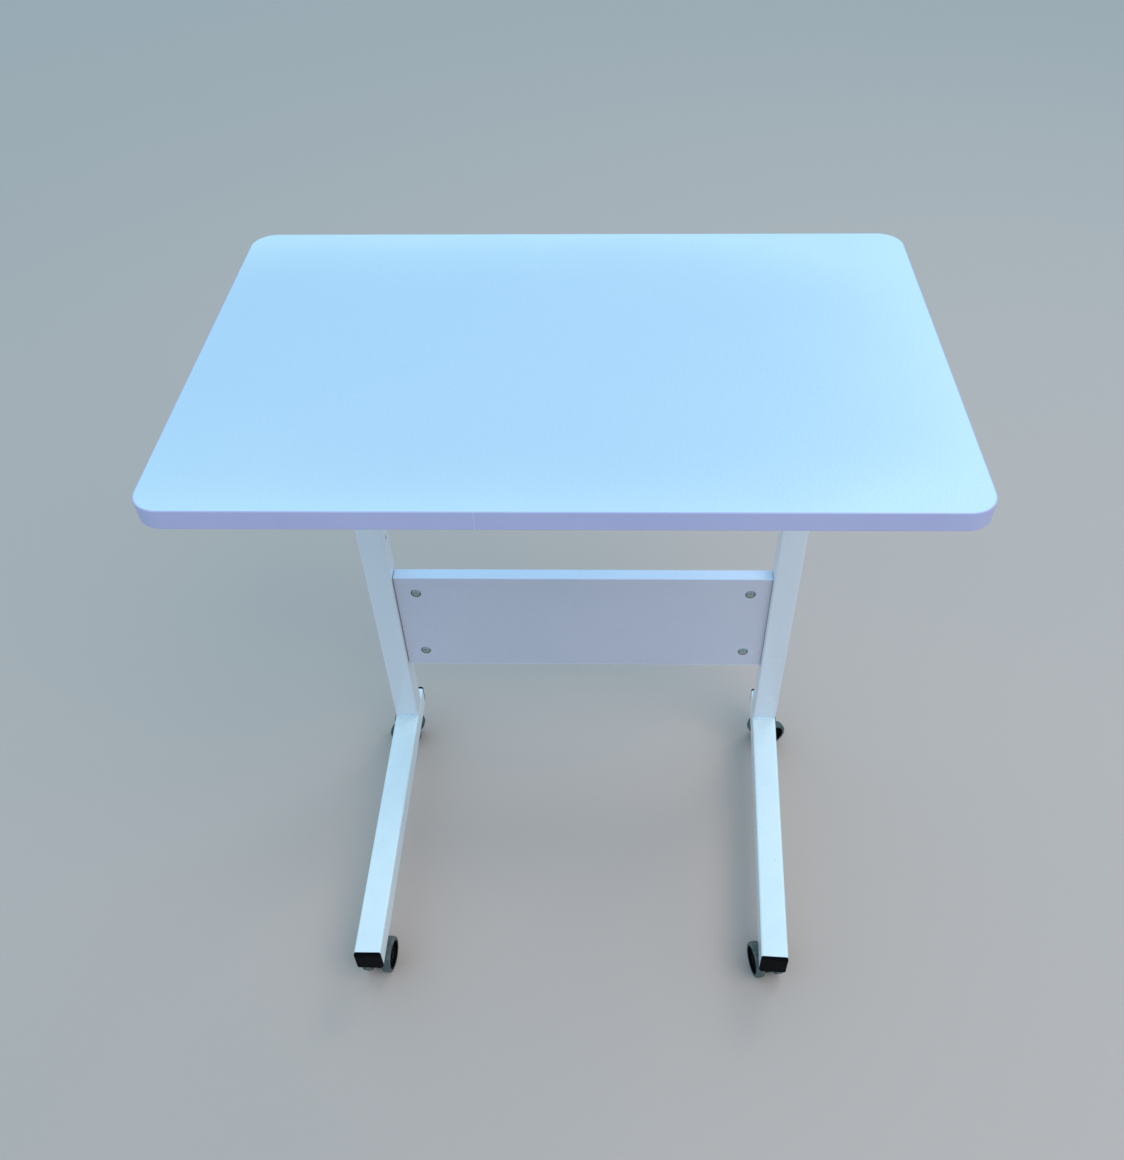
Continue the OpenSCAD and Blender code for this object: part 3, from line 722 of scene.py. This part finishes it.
def bodySkin():
    # The body is a slab between the wheels. Its outline, seen along the axle, is a disc with an upright
    # socket; at both faces it shrinks towards its own middle along a quarter circle.
    trail, up = castorPiece["trail"], castorPiece["wheel"]
    r, half, e, top = bodyPiece["disc"], bodyPiece["half"], bodyPiece["edge"], bodyPiece["top"]
    neckUp, neck = bodyPiece["neckUp"], bodyPiece["neckTurn"]
    socket = rounding([(-half, bodyPiece["foot"]), (-half, top), (half, top), (trail + half, up + neckUp * r),
                       (trail + r * math.cos(neck), up + r * math.sin(neck))], bodyPiece["round"], 6)
    a = arcSteps(40, -180, 60)
    disc = np.stack([trail + r * np.cos(a), up + r * np.sin(a)], 1)
    outline = np.concatenate([socket, disc])
    step = np.roll(outline, -1, 0) - np.roll(outline, 1, 0)
    inward = np.stack([step[:, 1], -step[:, 0]], 1) / np.linalg.norm(step, axis=1, keepdims=True)
    rows = [(-half + e - e * math.cos(v), e - e * math.sin(v)) for v in arcSteps(0, 90, 6)]
    rows += [(-x, inset) for x, inset in rows[::-1]]
    rings = [np.column_stack([np.full(len(outline), x), outline + inward * inset]) for x, inset in rows]
    return stackedRings(np.array(rings))


def turned(profile, steps=48):  # profile of (radius, height) round the swivel axis
    return stackedRings(spun(rounding(profile, 0.2 * mm, 2), steps))


def stemSkin():  # the pin that turns in the castor, its collar and the thread that goes up into the nut
    look, z = stemPiece, footLow[2]
    low, high, end = z - look["collarLow"], z - look["collarHigh"], z + look["threadUp"]
    return turned([(look["axis"], look["pinFoot"]), (look["pin"], look["pinFoot"]), (look["pin"], low),
                   (look["collar"], low), (look["collar"], high), (look["thread"], high), (look["thread"], end),
                   (look["axis"], end)])


def nutSkin():  # a flanged sleeve let into the underside of the foot
    look, z = nutPiece, footLow[2]
    low, high = z - look["flangeThick"], z + look["up"]
    return turned([(look["bore"], low), (look["flange"], low), (look["flange"], z), (look["body"], z),
                   (look["body"], high), (look["bore"], high)])


body, stem, nut = bodySkin(), stemSkin(), nutSkin()
stems, nuts = [], []
for corner in corners:
    toDesk = castorPlacer(corner)
    for w, way in ((1, -1), (2, 1)):
        wheel = "%s_wheel_%d" % (corner, w)
        for part, profile, finish in (("tyre", tyreProfile(), "tyre"), ("hub", hubProfile(), "wheel")):
            points, faces = revolve(profile, way)
            made = finishMesh("%s_%s_turned" % (wheel, part), toDesk(points), faces)
            place(weighted(sealed(made, True)), finish, wheel, "%s_%s" % (wheel, part))
    made = finishMesh(corner + "_castor_shell", toDesk(body[0]), body[1])
    place(weighted(sealed(made, True)), "wheel", corner + "_castor", corner + "_castor_body")
    refinish(corner + "_castor_axle", "zinc")
    stems.append((toDesk(stem[0]), stem[1]))
    nuts.append((toDesk(nut[0]), nut[1]))
for name, parts, node in (("castor_stem_pins", stems, "castor_stems"), ("castor_stem_nuts", nuts, "castor_nuts")):
    points, faces = joined(parts)
    place(sealed(finishMesh(name, points, faces), True), "zinc", "desk", node)
print("castors fitted")


# ---- camera, light and floor ----

cameraLook = {"place": (0.0352, -0.7649, 1.2074), "pan": -0.027, "down": 0.821, "roll": -0.015,
              "lens": 33.55, "shiftX": -0.026, "shiftY": 0.054}


def setCamera(look):
    p, t, r = look["pan"], look["down"], look["roll"]
    forward = np.array([math.sin(p) * math.cos(t), math.cos(p) * math.cos(t), -math.sin(t)])
    right = np.array([math.cos(p), -math.sin(p), 0])
    up = np.cross(right, forward)
    imageRight = math.cos(r) * right + math.sin(r) * up
    imageUp = -math.sin(r) * right + math.cos(r) * up
    data = bpy.data.cameras.new("camera")
    data.lens, data.sensor_width, data.sensor_fit = look["lens"], 36, "AUTO"
    data.shift_x, data.shift_y = look["shiftX"], look["shiftY"]
    data.clip_start, data.clip_end = 0.01, 60
    made = bpy.data.objects.new("camera", data)
    turned = np.eye(4)
    turned[:3, 0], turned[:3, 1], turned[:3, 2] = imageRight, imageUp, -forward
    turned[:3, 3] = look["place"]
    made.matrix_world = Matrix(turned.tolist())
    scene.collection.objects.link(made)
    scene.camera = made


lightLook = {"sky": (0.437, 0.755, 1.0), "skyStrength": 1.066, "floor": (0.62, 0.46, 0.39), "reach": 40}
lamps = {
    "key": {"place": (1.1, -1.3, 2.7), "towards": (0, 0, 0.3), "size": 1.8, "watts": 22, "colour": (1.0, 0.82, 0.70)},
    "rim": {"place": (1.3, 1.7, 2.6), "towards": (0, 0, 0.4), "size": 1.0, "watts": 7, "colour": (1.0, 1.0, 1.0)},
}


def areaLight(name, lamp):
    data = bpy.data.lights.new(name, "AREA")
    data.shape, data.size, data.energy, data.color = "DISK", lamp["size"], lamp["watts"], lamp["colour"]
    made = bpy.data.objects.new(name, data)
    made.location = lamp["place"]
    made.rotation_mode = "QUATERNION"
    made.rotation_quaternion = (Vector(lamp["towards"]) - Vector(lamp["place"])).to_track_quat("-Z", "Y")
    scene.collection.objects.link(made)


def setStage(look):
    world = bpy.data.worlds.new("soft sky")
    world.use_nodes = True
    sky = world.node_tree.nodes["Background"]
    sky.inputs["Color"].default_value = (*look["sky"], 1)
    sky.inputs["Strength"].default_value = look["skyStrength"]
    scene.world = world
    for name, lamp in lamps.items():
        areaLight(name, lamp)
    reach = look["reach"]
    points = np.array([[-reach, -reach, 0], [reach, -reach, 0], [reach, reach, 0], [-reach, reach, 0]])
    floor = finishMesh("floor", points, [np.array([[0, 1, 2, 3]])])
    f = Finish("plain floor", Roughness=0.85)
    f.shader.inputs["Base Color"].default_value = (*look["floor"], 1)
    floor.data.materials.append(f.made)


setCamera(cameraLook)
setStage(lightLook)
scene.view_settings.view_transform = "Standard"
print("stage set")
